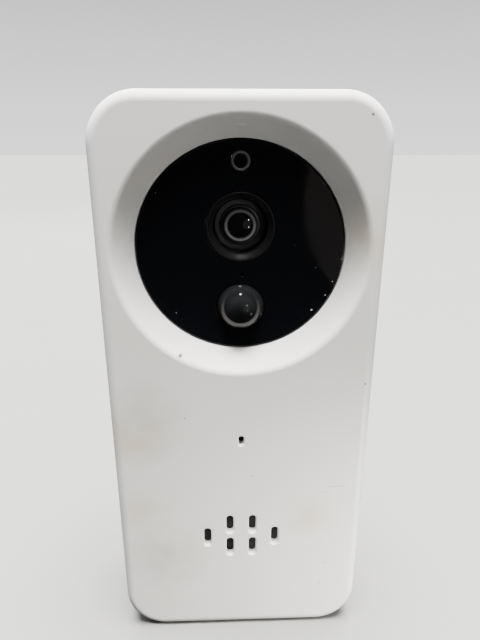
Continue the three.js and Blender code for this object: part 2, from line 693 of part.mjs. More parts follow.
piece('wall_plate', wallPlate(), greyPlastic());
piece('front_shell', frontShell(), whitePlastic());
piece('rear_housing', rearHousing(), whitePlastic());
piece('housing_seal', housingSeal(), rubber());
CASE_SCREWS.forEach(([x, z], i) => piece(`case_screw_${i + 1}`,
  screw(x, z, HEAD_SEAT + 0.1, CASE_SCREW), steel()));

piece('push_disc', pushDisc(), blackAcrylic());
piece('disc_carrier', discCarrier(), blackPlastic());
piece('lens_bezel', lensBezel(), blackPlastic());
piece('motion_dome', motionDome(), smokyDome());
piece('light_sensor_ring', lightSensorRing(), greyPlastic());
piece('light_pipe', lightPipe(), darkLens());
postPlaces().forEach((place, i) => piece(`return_spring_${i + 1}`, returnSpring(place), steel()));
piece('bell_switch_body', bellSwitchBody(), chipBlack());
piece('bell_switch_plunger', bellSwitchPlunger(), blackPlastic());

piece('main_board', mainBoard(), circuitBoard());
BOARD_SCREWS.forEach(([x, z], i) => piece(`board_screw_${i + 1}`,
  screw(x, z, BOARD_BACK + SOLDER, BOARD_SCREW), steel()));
piece('lens_holder', lensHolder(), blackPlastic());
piece('lens_barrel', lensBarrel(), blackPlastic());
piece('lens_glass', lensGlass(), darkLens());
piece('day_night_filter', dayNightFilter(), redGlass());
piece('image_sensor', imageSensor(), chipBlack());
piece('motion_sensor', motionSensor(), brightMetal());
piece('light_sensor', onBoardFront(0, LIGHT_Z, 1, 1, 0.75), clearResin());
piece('status_light', onBoardFront(STATUS_X, STATUS_Z, 0.8, 0.4, 0.6), clearResin());
INFRARED_Z.flatMap((z) => sides.map((side) => [side * INFRARED_X, z]))
  .forEach(([x, z], i) => piece(`infrared_light_${i + 1}`, infraredLight(x, z), clearResin()));
piece('processor', onBoardBack(-9, 30, 6, 6, 1.3), chipBlack());
piece('radio_module', onBoardBack(9, 44, 7, 9, 2.3), brightMetal());
piece('antenna', antenna(), gold());

piece('microphone', microphone(), brightMetal());
piece('microphone_boot', microphoneBoot(), rubber());
piece('speaker_mesh', speakerMesh(), cloth());
piece('speaker_gasket', speakerGasket(), rubber());
piece('speaker_basket', speakerBasket(), blackPlastic());
piece('speaker_cone', speakerCone(), blackPlastic());
piece('speaker_magnet', speakerMagnet(), brightMetal());

piece('cell_cradle', cellCradle(), blackPlastic());
sides.forEach((side, i) => piece(`lithium_cell_${i + 1}`, cell(side), cellSleeve()));
piece('cell_link', cellLink(), brightMetal());
piece('battery_lead', lead(-1), look(0x8c1f1c, 0.5));
piece('board_lead', lead(1), look(0x202124, 0.5));
piece('charge_board', chargeBoard(), circuitBoard());
piece('charge_socket', chargeSocket(), brightMetal());
piece('reset_switch', resetSwitch(), chipBlack());
piece('reset_button', resetButton(), greyPlastic());
piece('power_switch', powerSwitch(), brightMetal());
piece('power_slider', powerSlider(), blackPlastic());
piece('port_flap', portFlap(), rubber());
piece('tamper_switch', tamperSwitch(), chipBlack());
piece('tamper_plunger', tamperPlunger(), greyPlastic());

export default doorbell;
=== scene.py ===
"""Video doorbell: the looks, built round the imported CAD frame. Metres, +Z up, the front faces -Y."""
import json
import math

import bmesh
import bpy
from mathutils import Matrix, Vector

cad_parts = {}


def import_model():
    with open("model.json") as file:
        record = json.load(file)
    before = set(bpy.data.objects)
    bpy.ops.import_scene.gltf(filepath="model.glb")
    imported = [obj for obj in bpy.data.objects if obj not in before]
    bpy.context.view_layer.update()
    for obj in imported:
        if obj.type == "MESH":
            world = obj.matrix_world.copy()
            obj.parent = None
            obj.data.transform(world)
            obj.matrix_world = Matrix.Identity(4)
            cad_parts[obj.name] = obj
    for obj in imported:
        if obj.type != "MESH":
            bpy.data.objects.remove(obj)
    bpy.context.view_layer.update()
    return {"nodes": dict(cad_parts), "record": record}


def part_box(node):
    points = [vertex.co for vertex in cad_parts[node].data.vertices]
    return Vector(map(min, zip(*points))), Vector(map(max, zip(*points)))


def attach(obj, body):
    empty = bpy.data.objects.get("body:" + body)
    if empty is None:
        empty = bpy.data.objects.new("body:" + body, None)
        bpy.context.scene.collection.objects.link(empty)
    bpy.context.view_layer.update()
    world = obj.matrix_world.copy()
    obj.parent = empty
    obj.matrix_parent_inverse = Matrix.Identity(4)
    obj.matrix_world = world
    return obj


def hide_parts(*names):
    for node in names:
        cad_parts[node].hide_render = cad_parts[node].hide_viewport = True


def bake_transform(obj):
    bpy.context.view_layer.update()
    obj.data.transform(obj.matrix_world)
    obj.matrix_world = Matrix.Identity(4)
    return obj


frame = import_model()

MM = 0.001

# Sizes in millimetres that the frame's boxes don't give. They follow the CAD source's.

# Case walls
CORNER = 10.2
EDGE_ROUND = 2.2
WALL = 2.0
REAR_WALL_FRONT = -4.0
REAR_WALL_BACK = -2.3
RECESS_RIM = 4.0

# Finger dish, and the collar behind it that guides the bell push
DISH_MOUTH_R = 26.7
DISH_MOUTH_ROUND = 1.6
DISC_GAP = 0.3
COLLAR_BACK = -18.5
COLLAR_OUTER_R = 24.6
COLLAR_BEND = -20.0

# Openings in the disc
LENS_WAY_R = 7.5
DOME_WAY_R = 5.35
LIGHT_WAY_R = 2.02
STATUS_WAY_R = 0.4

# Sound openings in the front wall
MIC = (0.0, -9.3)
MIC_HALF_WIDTH = 0.62
MIC_HALF_LENGTH = 1.2
SPEAKER_Z = -36.7
SLOT_HALF_WIDTH = 0.9
SLOT_HALF_LENGTH = 2.7
INNER_COLUMN_X = 2.8
OUTER_COLUMN_X = 8.4
OUTER_COLUMN_DROP = 0.3
ROW_OFFSET = 3.4

# Screw bosses behind the front wall, and the posts on the rear wall that take the case screws' heads
CASE_BOSS_R = 3.0
CASE_BOSS_BACK = -6.8
CASE_PILOT_R = 1.25
BOARD_BOSS_R = 2.5
BOARD_BOSS_BACK = -12.1
BOARD_PILOT_R = 0.95
TOP_BOSS_R = 2.0
PILOT_DEPTH = 6.0
HEAD_WAY_R = 2.4
HEAD_SEAT = -4.3
SCREW_POST_R = 3.4
SCREW_POST_FRONT = -6.5

# Charging bay in the bottom wall: half sizes in x and y, and heights
PORT_Y = -15.25
POWER_X = 12.0
BED_HALF = (17.2, 4.45)
BED_Y = -15.45
FLAP_BED_TOP = -64.6
PAD_HALF = (18.5, 5.5)
PAD_Y = -15.5
BAY_PAD_TOP = -63.2
PORT_WAY_HALF = (5.0, 2.2)
POWER_WAY_HALF = (2.8, 1.3)
RESET_WAY_R = 1.5

# Wall plate
PLATE_FRONT = -2.0
PLATE_CORNER = 5.0
HOOKS = [(-18, 40), (18, 40), (-21, -40), (21, -40)]
HOOK_HALF_WIDTH = 3.0
HOOK_STEM = 2.5
HOOK_RISE = 7.5
HOOK_LIP_BACK = -4.3
SCREW_SLOTS = [44, -41]
SCREW_SLOT_HALF_WIDTH = 2.1
SCREW_SLOT_HALF_LENGTH = 4.0
SCREW_SLOT_STEP = 1.9
LIFT = 8.0
TAMPER_TRAVEL = 1.5
TAMPER_WAY_R = 1.8

# Depths of the camera's and the dome's pieces
GLASS_SEAT = -16.62
BARREL_SHOULDER = -17.2
DOME_FLANGE_BACK = -18.8

# Mesh steps round a circle
DISC_STEPS = 128
RING_STEPS = 96
HOLE_STEPS = 64
BOSS_STEPS = 32

SHARP_ANGLE = math.radians(32)


def span(node):
    """A node's (low, high) corners in millimetres."""
    low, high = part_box(node)
    return [v / MM for v in low], [v / MM for v in high]


def middle(node):
    low, high = span(node)
    return [(a + b) / 2 for a, b in zip(low, high)]


def seen_at(node):
    """The (x, z) of a node's middle."""
    x, _, z = middle(node)
    return x, z


SHELL_LOW, SHELL_HIGH = span("front_shell")
REAR_LOW, REAR_HIGH = span("rear_housing")
HALF_WIDTH, HALF_HEIGHT = SHELL_HIGH[0], SHELL_HIGH[2]
FRONT = SHELL_LOW[1]
DISC_PLACE = seen_at("push_disc")
DISC_R = span("push_disc")[1][0]
DISC_FRONT, DISC_BACK = span("push_disc")[0][1], span("push_disc")[1][1]
LENS_Z = middle("lens_bezel")[2]
DOME_Z = middle("motion_dome")[2]
LIGHT_Z = middle("light_sensor_ring")[2]
RESET_X = middle("reset_button")[0]
CASE_SCREWS = [seen_at(f"case_screw_{i}") for i in (1, 2, 3, 4)]
TOP_SCREW, *BOARD_SCREWS = [seen_at(f"board_screw_{i}") for i in (1, 2, 3)]


# Camera: the photograph's viewing angle, close and looking down on the front.

CAMERA_PLACE = Vector((-3.89, -128.06, 56.19)) * MM
CAMERA_YAW = math.radians(2.01)
CAMERA_PITCH = math.radians(19.19)
CAMERA_LENS = 28.45
CAMERA_SENSOR = 36
CAMERA_NEAR = 10 * MM


def make_camera():
    data = bpy.data.cameras.new("camera")
    data.lens = CAMERA_LENS
    data.sensor_width = CAMERA_SENSOR
    data.clip_start = CAMERA_NEAR
    camera = bpy.data.objects.new("camera", data)
    bpy.context.scene.collection.objects.link(camera)
    camera.location = CAMERA_PLACE
    look = Vector((
        math.sin(CAMERA_YAW) * math.cos(CAMERA_PITCH),
        math.cos(CAMERA_YAW) * math.cos(CAMERA_PITCH),
        -math.sin(CAMERA_PITCH),
    ))
    camera.rotation_euler = look.to_track_quat("-Z", "Y").to_euler()
    bpy.context.scene.camera = camera


make_camera()


# Outlines: each gives the points of a closed ring for a given growth outwards, in a plane's two axes.


def rounded_box(half_a, half_b, radius, centre=(0.0, 0.0), steps=10):
    """A rectangle with round corners, each of the given number of steps."""
    def ring(grow):
        r = max(radius + grow, 0.02)
        inner_a, inner_b = half_a + grow - r, half_b + grow - r
        points = []
        for k, (sa, sb) in enumerate([(1, -1), (1, 1), (-1, 1), (-1, -1)]):
            start = math.pi / 2 * (k - 1)
            for i in range(steps + 1):
                angle = start + math.pi / 2 * i / steps
                points.append((centre[0] + sa * inner_a + r * math.cos(angle),
                               centre[1] + sb * inner_b + r * math.sin(angle)))
        return points
    return ring


def circle(centre, steps):
    """Its growth is its radius."""
    def ring(radius):
        return [(centre[0] + radius * math.cos(2 * math.pi * i / steps),
                 centre[1] + radius * math.sin(2 * math.pi * i / steps)) for i in range(steps)]
    return ring


def slot_outline(centre, half_width, half_length, steps=10):
    return rounded_box(half_width, half_length, half_width - 0.01, centre, steps)


def rounded(corners, steps=6):
    """A profile of (grow, height) from (grow, height, round) corners, each round one turned into an arc."""
    profile = []
    for i, corner in enumerate(corners):
        here = Vector(corner[:2])
        radius = corner[2] if len(corner) > 2 else 0
        if not radius or i in (0, len(corners) - 1):
            profile.append(tuple(here))
            continue
        before = (Vector(corners[i - 1][:2]) - here).normalized()
        after = (Vector(corners[i + 1][:2]) - here).normalized()
        half = before.angle(after) / 2
        reach = radius / math.tan(half)
        centre = here + (before + after).normalized() * (radius / math.sin(half))
        start = here + before * reach - centre
        end = here + after * reach - centre
        turn = start.angle_signed(end)
        for k in range(steps + 1):
            point = centre + Matrix.Rotation(-turn * k / steps, 2) @ start
            profile.append(tuple(point))
    return profile


class Body:
    """A closed mesh of rings joined by strips and of flat faces with holes. axis is the plane's normal."""

    def __init__(self, axis="y"):
        self.bm = bmesh.new()
        self.axis = axis

    def place(self, point, height):
        a, b = point
        return (a, height, b) if self.axis == "y" else (a, b, height)

    def ring(self, points, height):
        return [self.bm.verts.new(self.place(p, height)) for p in points]

    def strip(self, first, second, skip=None):
        n = len(first)
        for i in range(n):
            if i != skip:
                self.bm.faces.new((first[i], first[(i + 1) % n], second[(i + 1) % n], second[i]))

    def sweep(self, outline, profile, loop=False, skip=None):
        """Rings of outline along a profile of (grow, height). Returns them all."""
        rings = [self.ring(outline(grow), height) for grow, height in profile]
        pairs = list(zip(rings, rings[1:]))
        if loop:
            pairs.append((rings[-1], rings[0]))
        for row, (first, second) in enumerate(pairs):
            self.strip(first, second, skip.get(row) if skip else None)
        return rings

    def tip(self, ring, point, height):
        """Closes a ring to one point."""
        top = self.bm.verts.new(self.place(point, height))
        n = len(ring)
        for i in range(n):
            self.bm.faces.new((ring[i], ring[(i + 1) % n], top))

    def flat(self, *rings):
        """A flat face inside the first ring, with the others as holes."""
        edges = []
        for ring in rings:
            n = len(ring)
            for i in range(n):
                pair = (ring[i], ring[(i + 1) % n])
                edges.append(self.bm.edges.get(pair) or self.bm.edges.new(pair))
        bmesh.ops.triangle_fill(self.bm, edges=edges, use_beauty=True, use_dissolve=False)

    def finish(self, name, rider, slot, node, material=None):
        """Makes the piece that replaces a CAD node. It rides on a body, or is left unattached where rider is
        None.
        """
        bmesh.ops.recalc_face_normals(self.bm, faces=self.bm.faces)
        bmesh.ops.scale(self.bm, vec=(MM, MM, MM), verts=self.bm.verts)
        mesh = bpy.data.meshes.new(name)
        self.bm.to_mesh(mesh)
        self.bm.free()
        mesh.shade_smooth()
        mesh.set_sharp_from_angle(angle=SHARP_ANGLE)
        mesh.materials.append(material or MATERIALS[slot])
        piece = bpy.data.objects.new(name, mesh)
        bpy.context.scene.collection.objects.link(piece)
        weights = piece.modifiers.new("even_normals", "WEIGHTED_NORMAL")
        weights.keep_sharp = True
        if rider:
            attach(piece, rider)
        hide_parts(node)
        return piece


# Materials


def map_range(tree, value, low, high, to_low, to_high):
    """A value's stretch from low to high, spread from to_low to to_high."""
    made = tree.nodes.new("ShaderNodeMapRange")
    for socket, number in zip(("From Min", "From Max", "To Min", "To Max"), (low, high, to_low, to_high)):
        made.inputs[socket].default_value = number
    tree.links.new(value, made.inputs["Value"])
    return made.outputs["Result"]


class Look:
    """A Principled material with short calls for its nodes. Patterns use object coordinates, in metres."""

    def __init__(self, name, color, roughness, metallic=0.0, **sockets):
        self.material = bpy.data.materials.new(name)
        self.material.use_nodes = True
        self.tree = self.material.node_tree
        self.shader = self.tree.nodes["Principled BSDF"]
        self.where = self.node("ShaderNodeTexCoord").outputs["Object"]
        self.shader.inputs["Base Color"].default_value = (*color, 1)
        self.shader.inputs["Roughness"].default_value = roughness
        self.shader.inputs["Metallic"].default_value = metallic
        for key, value in sockets.items():
            self.shader.inputs[key.replace("_", " ")].default_value = value

    def node(self, kind, **settings):
        made = self.tree.nodes.new(kind)
        for key, value in settings.items():
            setattr(made, key, value)
        return made

    def link(self, source, target):
        self.tree.links.new(source, target)

    def noise(self, scale, detail, stretch=None):
        made = self.node("ShaderNodeTexNoise")
        made.inputs["Scale"].default_value = scale
        made.inputs["Detail"].default_value = detail
        where = self.where
        if stretch:
            mapping = self.node("ShaderNodeMapping")
            mapping.inputs["Scale"].default_value = stretch
            self.link(where, mapping.inputs["Vector"])
            where = mapping.outputs["Vector"]
        self.link(where, made.inputs["Vector"])
        return made.outputs["Fac"]

    def span(self, value, low, high, to_low, to_high):
        return map_range(self.tree, value, low, high, to_low, to_high)

    def vary(self, noise, to_low=0, to_high=1):
        """Spreads the middle of a noise, where most of it lies, from to_low to to_high."""
        return self.span(noise, 0.3, 0.7, to_low, to_high)

    def mix(self, factor, first, second):
        """first and second are colours or colour outputs."""
        made = self.node("ShaderNodeMix", data_type="RGBA")
        self.link(factor, made.inputs["Factor"])
        for source, target in ((first, made.inputs[6]), (second, made.inputs[7])):
            if isinstance(source, tuple):
                target.default_value = (*source, 1)
            else:
                self.link(source, target)
        return made.outputs[2]

    def spot(self, place, radius, edge, stretch=(1, 1, 1)):
        """1 at a place in millimetres, falling to 0 at radius, from the share of it that edge gives.

        A stretch below 1 lengthens the spot on that axis.
        """
        away = self.node("ShaderNodeVectorMath", operation="SUBTRACT")
        self.link(self.where, away.inputs[0])
        away.inputs[1].default_value = [v * MM for v in place]
        scaled = self.node("ShaderNodeVectorMath", operation="MULTIPLY")
        self.link(away.outputs["Vector"], scaled.inputs[0])
        scaled.inputs[1].default_value = stretch
        length = self.node("ShaderNodeVectorMath", operation="LENGTH")
        self.link(scaled.outputs["Vector"], length.inputs[0])
        return self.span(length.outputs["Value"], radius * MM * edge, radius * MM, 1, 0)

    def math(self, operation, first, second):
        made = self.node("ShaderNodeMath", operation=operation)
        for source, target in ((first, made.inputs[0]), (second, made.inputs[1])):
            if isinstance(source, (int, float)):
                target.default_value = source
            else:
                self.link(source, target)
        return made.outputs["Value"]

    def color(self, source):
        self.link(source, self.shader.inputs["Base Color"])

    def rough(self, source):
        self.link(source, self.shader.inputs["Roughness"])

    def bump(self, height, strength, depth):
        made = self.node("ShaderNodeBump")
        made.inputs["Strength"].default_value = strength
        made.inputs["Distance"].default_value = depth * MM
        self.link(height, made.inputs["Height"])
        self.link(made.outputs["Normal"], self.shader.inputs["Normal"])


# Marks on the face, in millimetres. Grey patches of painted shade on the face's left side, then brown stains:
# x, z, radius and strength.
SHADE_PATCHES = [(-18.5, -43, 12, 0.7), (-23, -5, 12, 0.6), (-21, 1, 8, 0.25)]
BROWN_STAINS = [(-25, -9, 9, 0.7), (-24, -29, 8, 0.6), (17, -31, 8, 0.9), (27, 38, 9, 0.8)]
# Specks, and the dust on the disc: x, z and radius. Scratches: x, z and half length.
SPECKS = [(-13.4, 12.3, 0.55), (24.9, 61.5, 0.35), (28, 5, 0.3), (20.4, -52.6, 0.25), (2.6, -19, 0.22),
          (-13, -3, 0.22)]
SCRATCHES = [(23.4, -22.5, 3.2), (20.5, -24, 1.3), (21.5, -46, 1.0)]
DISC_DUST = [(20.2, 27.6, 0.15), (18.8, 24.5, 0.17), (15.9, 21.1, 0.26), (-14.3, 20.7, 0.12),
             (-17.5, 46.7, 0.1)]
SCRATCH_HALF_WIDTH = 0.2


def white_plastic():
    """Aged white plastic with grey patches of painted shade on the face's left side, brown stains, dark
    specks and a few scratches on the face.
    """
    look = Look("white_plastic", (0.80, 0.79, 0.76), 0.42)
    clean, aged = (0.80, 0.795, 0.775), (0.79, 0.775, 0.735)
    shade_grey, brown, dark, grey = (0.50, 0.49, 0.45), (0.68, 0.60, 0.42), (0.10, 0.09, 0.08), (0.40, 0.39, 0.37)
    base = look.mix(look.span(look.noise(38, 2), 0.35, 0.65, 0, 1), clean, aged)
    blotch = look.noise(170, 4)
    # The first list's grey patches are painted shade on the face's left side; the brown ones are stains.
    for marks, color in ((SHADE_PATCHES, shade_grey), (BROWN_STAINS, brown)):
        for x, z, radius, strength in marks:
            patch = look.span(blotch, 0.30, 0.65, strength * 0.3, strength)
            shade_and_stain = look.math("MULTIPLY", look.spot((x, FRONT, z), radius, 0.05), patch)
            base = look.mix(shade_and_stain, base, color)
    for x, z, radius in SPECKS:
        base = look.mix(look.spot((x, FRONT, z), radius, 0.4, (1, 0.2, 1)), base, dark)
    for x, z, reach in SCRATCHES:
        line = look.spot((x, FRONT, z), SCRATCH_HALF_WIDTH, 0.3, (SCRATCH_HALF_WIDTH / reach, 1, 1))
        base = look.mix(look.math("MULTIPLY", line, 0.7), base, grey)
    look.color(base)
    look.rough(look.vary(look.noise(300, 4), 0.36, 0.48))
    look.bump(look.noise(4200, 2), 0.25, 0.02)
    return look.material


def moulded(name, color, roughness, grain=3000, **sockets):
    """Plain moulded or painted stuff with a little tone, gloss and grain variation."""
    look = Look(name, color, roughness, **sockets)
    darker = tuple(c * 0.95 for c in color)
    look.color(look.mix(look.vary(look.noise(60, 3)), color, darker))
    look.rough(look.vary(look.noise(420, 3), roughness * 0.88, min(1.0, roughness * 1.14)))
    look.bump(look.noise(grain, 2), 0.25, 0.02)
    return look.material


def black_acrylic():
    """Glossy black with fine dust and the larger specks on the disc."""
    black, faint_dust, dust_grey = (0.0022, 0.0026, 0.0036), (0.12, 0.12, 0.11), (0.50, 0.49, 0.46)
    look = Look("black_acrylic", black, 0.05, Specular_IOR_Level=0.2)
    dust = look.node("ShaderNodeTexVoronoi")
    dust.inputs["Scale"].default_value = 330
    look.link(look.where, dust.inputs["Vector"])
    speck = look.span(dust.outputs["Distance"], 0.03, 0.055, 1, 0)
    some = look.span(look.noise(140, 1), 0.57, 0.62, 0, 0.8)
    base = look.mix(look.math("MULTIPLY", speck, some), black, faint_dust)
    for x, z, radius in DISC_DUST:
        base = look.mix(look.spot((x, DISC_FRONT, z), radius, 0.3), base, dust_grey)
    look.color(base)
    look.rough(look.span(look.noise(60, 5), 0.35, 0.75, 0.03, 0.10))
    look.bump(look.noise(60, 2), 0.05, 0.02)
    return look.material


def smoky_dome():
    """Nearly black, with the faint rings of the lens moulded inside the dome."""
    look = Look("smoky_dome", (0.006, 0.006, 0.007), 0.07, Specular_IOR_Level=0.2)
    rings = look.node("ShaderNodeTexWave", wave_type="RINGS", rings_direction="SPHERICAL")
    rings.inputs["Scale"].default_value = 420
    offset = look.node("ShaderNodeVectorMath", operation="SUBTRACT")
    look.link(look.where, offset.inputs[0])
    offset.inputs[1].default_value = (0, DISC_FRONT * MM, DOME_Z * MM)
    look.link(offset.outputs["Vector"], rings.inputs["Vector"])
    look.color(look.mix(rings.outputs["Fac"], (0.005, 0.0055, 0.006), (0.008, 0.0085, 0.0095)))
    look.rough(look.vary(look.noise(500, 3), 0.05, 0.09))
    look.bump(rings.outputs["Fac"], 0.05, 0.02)
    return look.material


def lens_coating():
    """Coated glass that is nearly black, a little purple in places."""
    look = Look("dark_lens", (0.003, 0.003, 0.004), 0.04, Specular_IOR_Level=0.25)
    look.color(look.mix(look.vary(look.noise(420, 1)), (0.002, 0.002, 0.004), (0.005, 0.003, 0.006)))
    look.rough(look.vary(look.noise(800, 2), 0.03, 0.055))
    return look.material


def circuit_board():
    """Green solder mask with darker and lighter stretches, and raised lines for tracks."""
    look = Look("circuit_board", (0.02, 0.14, 0.06), 0.35)
    tracks = look.node("ShaderNodeTexBrick")
    tracks.inputs["Scale"].default_value = 420
    tracks.inputs["Mortar Size"].default_value = 0.03
    look.link(look.where, tracks.inputs["Vector"])
    look.color(look.mix(tracks.outputs["Fac"], (0.014, 0.10, 0.045), (0.03, 0.19, 0.09)))
    look.rough(look.vary(look.noise(300, 3), 0.30, 0.42))
    look.bump(tracks.outputs["Fac"], 0.3, 0.03)
    return look.material


def metal(name, color, roughness, stretch):
    """Metal with a brushed grain, which a stretch below 1 draws out on that axis."""
    look = Look(name, color, roughness, 1.0)
    grain = look.noise(900, 4, stretch)
    darker = tuple(c * 0.82 for c in color)
    look.color(look.mix(look.vary(grain), color, darker))
    look.rough(look.vary(grain, roughness * 0.8, roughness * 1.25))
    look.bump(grain, 0.15, 0.01)
    return look.material


def woven(name, color):
    """Cloth of two crossing sets of threads."""
    look = Look(name, color, 0.9, Sheen_Weight=0.3)
    threads = []
    for direction in ("X", "Z"):
        wave = look.node("ShaderNodeTexWave", wave_type="BANDS", bands_direction=direction)
        wave.inputs["Scale"].default_value = 900
        look.link(look.where, wave.inputs["Vector"])
        threads.append(wave.outputs["Fac"])
    weave = look.math("MULTIPLY", *threads)
    look.color(look.mix(weave, color, tuple(c * 2.2 for c in color)))
    look.rough(look.span(weave, 0, 1, 0.95, 0.8))
    look.bump(weave, 0.5, 0.05)
    return look.material


def clear_resin():
    clear, cloudy = (0.82, 0.84, 0.86), (0.74, 0.76, 0.74)
    look = Look("clear_resin", clear, 0.12, Transmission_Weight=0.4)
    look.color(look.mix(look.vary(look.noise(700, 2)), clear, cloudy))
    look.rough(look.vary(look.noise(900, 2), 0.08, 0.2))
    return look.material


MATERIALS = {
    "white_plastic": white_plastic(),
    "grey_plastic": moulded("grey_plastic", (0.46, 0.46, 0.44), 0.55),
    "black_plastic": moulded("black_plastic", (0.028, 0.029, 0.031), 0.45),
    "black_acrylic": black_acrylic(),
    "smoky_dome": smoky_dome(),
    "dark_lens": lens_coating(),
    "filter_glass": moulded("filter_glass", (0.16, 0.03, 0.06), 0.08),
    "steel": metal("steel", (0.60, 0.61, 0.62), 0.32, (1, 1, 0.2)),
    "tinplate": metal("tinplate", (0.72, 0.73, 0.74), 0.28, (0.2, 1, 1)),
    "circuit_board": circuit_board(),
    "chip_epoxy": moulded("chip_epoxy", (0.022, 0.022, 0.024), 0.5, 5000),
    "clear_resin": clear_resin(),
    "brass": metal("brass", (0.62, 0.44, 0.16), 0.3, (0.2, 1, 1)),
    "rubber": moulded("rubber", (0.028, 0.028, 0.030), 0.75, 2200),
    "cloth": woven("cloth", (0.006, 0.006, 0.007)),
    "cell_sleeve": moulded("cell_sleeve", (0.03, 0.16, 0.34), 0.3, 1500),
    "red_lead": moulded("red_lead", (0.32, 0.02, 0.015), 0.45, 2500),
    "black_lead": moulded("black_lead", (0.02, 0.022, 0.025), 0.45, 2500),
}


FILLET = 0.12


def dress_frame():
    """Every CAD node gets its slot's material, and small edge rounds unless it is a lead."""
    slots = {part["node"]: part["material_slot"] for part in frame["record"]["subparts"]}
    leads = {"battery_lead", "board_lead"}
    for name, piece in frame["nodes"].items():
        piece.data.materials.clear()
        piece.data.materials.append(MATERIALS[slots[name]])
        if name in leads:
            piece.data.shade_smooth()
            continue
        edge = piece.modifiers.new("edge_round", "BEVEL")
        edge.width = FILLET * MM
        edge.segments = 2
        edge.limit_method = "ANGLE"
        edge.angle_limit = math.radians(40)
        edge.use_clamp_overlap = True


dress_frame()


# Case


def openings(body, cuts):
    """Sweeps a way through a wall for each (outline, profile). Returns the first rims and the last rims."""
    made = [body.sweep(outline, profile) for outline, profile in cuts]
    return [rings[0] for rings in made], [rings[-1] for rings in made]


def dish_profile(inside):
    """From the face down the dish to the disc's way, round the collar's back and out to the wall again."""
    way = DISC_R + DISC_GAP
    return rounded([
        (DISH_MOUTH_R + 0.85, FRONT), (DISH_MOUTH_R, FRONT, DISH_MOUTH_ROUND), (way, DISC_FRONT, 0.5),
        (way, COLLAR_BACK, 0.15), (COLLAR_OUTER_R, COLLAR_BACK, 0.15), (COLLAR_OUTER_R, COLLAR_BEND, 0.5),
        (DISH_MOUTH_R, inside, 0.3), (DISH_MOUTH_R + 0.5, inside),
    ], 8)


def sound_openings(inside):
    """The speaker's six slots, in four columns, and the microphone's one."""
    way = rounded([(0.5, FRONT), (0, FRONT, 0.28), (0, inside, 0.1), (0.4, inside)], 4)
    centres = []
    for side in (-1, 1):
        centres.append((side * OUTER_COLUMN_X, SPEAKER_Z - OUTER_COLUMN_DROP))
        for row in (-1, 1):
            centres.append((side * INNER_COLUMN_X, SPEAKER_Z + row * ROW_OFFSET))
    slots = [slot_outline(centre, SLOT_HALF_WIDTH, SLOT_HALF_LENGTH) for centre in centres]
    slots.append(slot_outline(MIC, MIC_HALF_WIDTH, MIC_HALF_LENGTH))
    return [(slot, way) for slot in slots]


def screw_bosses(body, inside):
    """Bosses with blind pilot holes behind the front wall. Returns their rims on its flat inside."""
    rims = []
    for places, radius, bore, end in ((CASE_SCREWS, CASE_BOSS_R, CASE_PILOT_R, CASE_BOSS_BACK),
                                      (BOARD_SCREWS, BOARD_BOSS_R, BOARD_PILOT_R, BOARD_BOSS_BACK)):
        bottom = end - PILOT_DEPTH
        boss = rounded([(radius + 0.4, inside), (radius, inside, 0.3), (radius, end, 0.2), (bore, end, 0.1),
                        (bore, bottom)], 3)
        for place in places:
            rings = body.sweep(circle(place, BOSS_STEPS), boss)
            body.tip(rings[-1], place, bottom)
            rims.append(rings[0])
    # The top boss reaches the edge of the flat inside, so it is an island sunk a little into the wall.
    root, bottom = inside - 0.1, BOARD_BOSS_BACK - PILOT_DEPTH
    rings = body.sweep(circle(TOP_SCREW, BOSS_STEPS), rounded([
        (TOP_BOSS_R, root), (TOP_BOSS_R, BOARD_BOSS_BACK, 0.2), (BOARD_PILOT_R, BOARD_BOSS_BACK, 0.1),
        (BOARD_PILOT_R, bottom),
    ], 3))
    body.tip(rings[0], TOP_SCREW, root)
    body.tip(rings[-1], TOP_SCREW, bottom)
    return rims


def front_shell():
    body = Body()
    outline = rounded_box(HALF_WIDTH, HALF_HEIGHT, CORNER, steps=20)
    inside, back = FRONT + WALL, SHELL_HIGH[1]
    arc = 9
    skin = rounded([
        (-EDGE_ROUND - 0.04, FRONT), (0, FRONT, EDGE_ROUND), (0, back, 0.25), (-WALL, back, 0.15),
        (-WALL, inside, 0.35), (-WALL - 0.5, inside),
    ], arc)
    # The charging bay fills gaps left in the outer and inner side walls' rows, at the bottom edge.
    outer_row = arc + 1
    inner_row = 3 * (arc + 1)
    bottom_edge = len(outline(0)) - 1
    rings = body.sweep(outline, skin, skip={outer_row: bottom_edge, inner_row: bottom_edge})
    dish = (circle(DISC_PLACE, DISC_STEPS), dish_profile(inside))
    front_rims, inner_rims = openings(body, [dish, *sound_openings(inside)])
    inner_rims += screw_bosses(body, inside)
    body.flat(rings[0], *front_rims)
    body.flat(rings[-1], *inner_rims)
    charging_bay(body, rings, outer_row, inner_row, bottom_edge)
    body.finish("front_shell_skin", "unit", "white_plastic", "front_shell")


